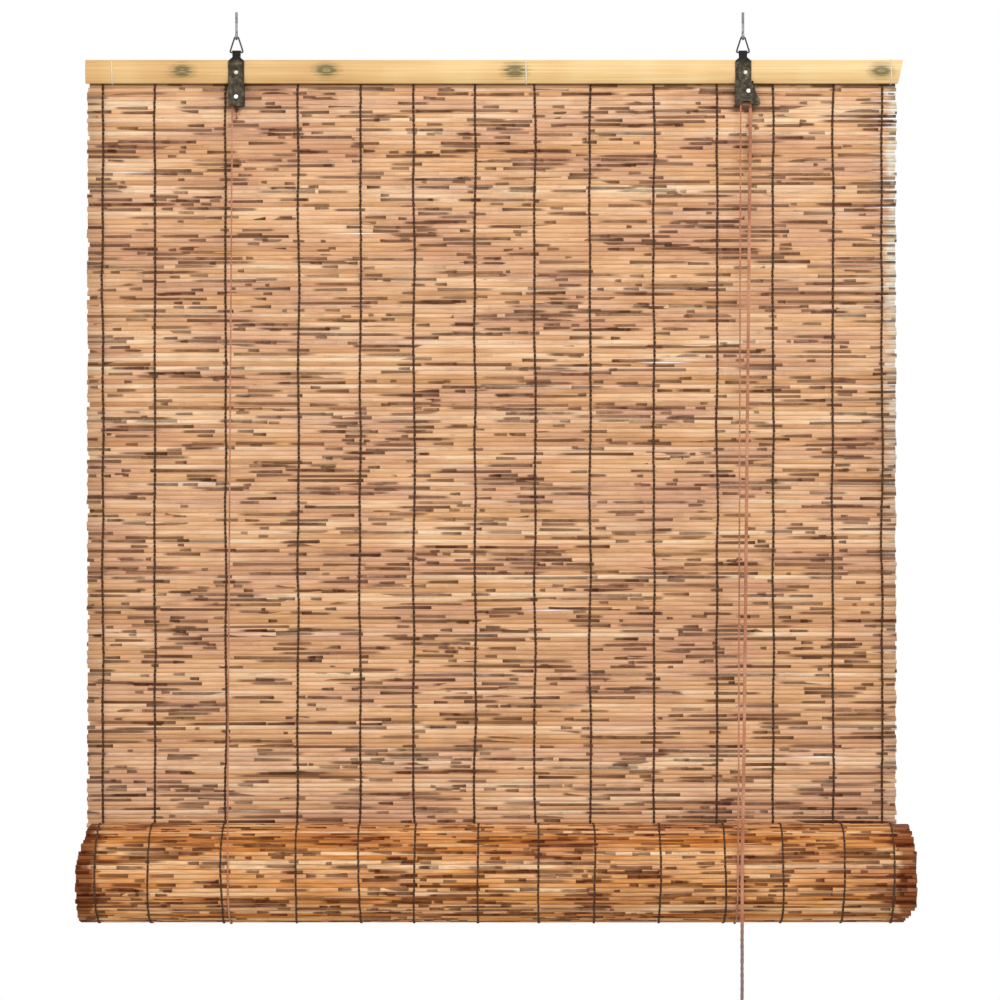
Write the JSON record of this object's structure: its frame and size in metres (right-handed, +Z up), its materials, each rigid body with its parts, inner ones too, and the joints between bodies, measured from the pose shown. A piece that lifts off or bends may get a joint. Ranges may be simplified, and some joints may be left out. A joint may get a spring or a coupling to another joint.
{
  "type": "reed roll up blind",
  "caption": "Half rolled up window blind of sewn reeds with a bamboo head, lift cords under the roll, a cord lock bracket and a pulley bracket on ceiling hooks.",
  "frame": {"origin": "midway between the two ceiling hooks, in the plane of the ceiling", "axes": "+X along the head to the viewer's right, +Y towards the window behind the blind, +Z up into the ceiling"},
  "size_m": [1.018, 0.1408, 1.2856],
  "materials": {
    "hook_steel": "plain drawn steel",
    "ring_steel": "black",
    "bracket_steel": "scuffed dark grey",
    "rivet": "bright",
    "bamboo": "smooth split bamboo",
    "reed": "natural reed, streaked",
    "roll_reed": "natural reed, streaked",
    "warp_thread": "twisted thread",
    "tie": "white string",
    "cord": "twisted cord",
    "wheel": "moulded",
    "cam": "stamped"
  },
  "bodies": {
    "fixing": {"screw_hook_left": "hook_steel", "screw_hook_right": "hook_steel", "hanging_ring_left": "ring_steel", "hanging_ring_right": "ring_steel"},
    "head": {"front_batten": "bamboo", "back_batten": "bamboo", "batten_tie_left": "tie", "batten_tie_middle": "tie", "batten_tie_right": "tie", "reed_mat": "reed", "mat_warp_threads": "warp_thread", "pulley_bracket": "bracket_steel", "lock_bracket": "bracket_steel", "pulley_axle_left": "rivet", "pulley_axle_right": "rivet", "spacer_rivet": "rivet", "spacer_sleeve": "cam", "lock_pivot": "rivet", "left_lift_cord": "cord", "right_lift_cord": "cord", "left_front_run": "cord", "right_front_run": "cord", "left_back_run": "cord", "right_back_run": "cord", "left_tail_knot": "cord", "right_tail_knot": "cord", "pull_cord_upper": "cord"},
    "wheel_left": {"pulley_wheel_left": "wheel"},
    "wheel_rear": {"pulley_wheel_rear": "wheel"},
    "wheel_front": {"pulley_wheel_front": "wheel"},
    "lock": {"lock_cam": "cam"},
    "slings": {"left_sling": "cord", "right_sling": "cord"},
    "roll": {"reed_roll": "roll_reed", "roll_warp_threads": "warp_thread", "bottom_batten": "bamboo"},
    "pull": {"pull_cord_lower": "cord", "pull_coil": "cord", "coil_tie": "cord", "pull_knot": "cord"}
  },
  "joints": [
    {"name": "head_swing", "type": "hinge", "parent": "fixing", "child": "head", "pos_m": [0, 0, -0.0328], "axis": [1, 0, 0], "range_deg": [-40, 0]},
    {"name": "roll_lift", "type": "slide", "parent": "head", "child": "slings", "axis": [0, 0, 1], "range_m": [0, 0.78], "deforming": ["reed_mat", "mat_warp_threads", "left_front_run", "right_front_run", "left_back_run", "right_back_run", "pull_cord_upper"]},
    {"name": "roll_turn", "type": "hinge", "parent": "slings", "child": "roll", "pos_m": [0, -0.0487, -1.043], "axis": [1, 0, 0], "continuous": true},
    {"name": "pull_run", "type": "slide", "parent": "slings", "child": "pull", "axis": [0, 0, -1], "range_m": [0, 2.35], "deforming": ["pull_cord_lower"]},
    {"name": "left_wheel_spin", "type": "hinge", "parent": "head", "child": "wheel_left", "pos_m": [-0.3135, 0.0029, -0.0584], "axis": [0, 1, 0], "continuous": true},
    {"name": "rear_wheel_spin", "type": "hinge", "parent": "head", "child": "wheel_rear", "pos_m": [0.3161, 0.0029, -0.0584], "axis": [0, 1, 0], "continuous": true},
    {"name": "front_wheel_spin", "type": "hinge", "parent": "head", "child": "wheel_front", "pos_m": [0.3161, -0.0008, -0.0584], "axis": [0, 1, 0], "continuous": true},
    {"name": "lock_release", "type": "hinge", "parent": "head", "child": "lock", "pos_m": [0.3197, 0.0029, -0.0812], "axis": [0, 1, 0], "range_deg": [0, 35]}
  ],
  "couplings": [
    {"joint": "roll_turn", "follows": "roll_lift", "rad_per_m": -16.111},
    {"joint": "pull_run", "follows": "roll_lift", "ratio": 3}
  ]
}
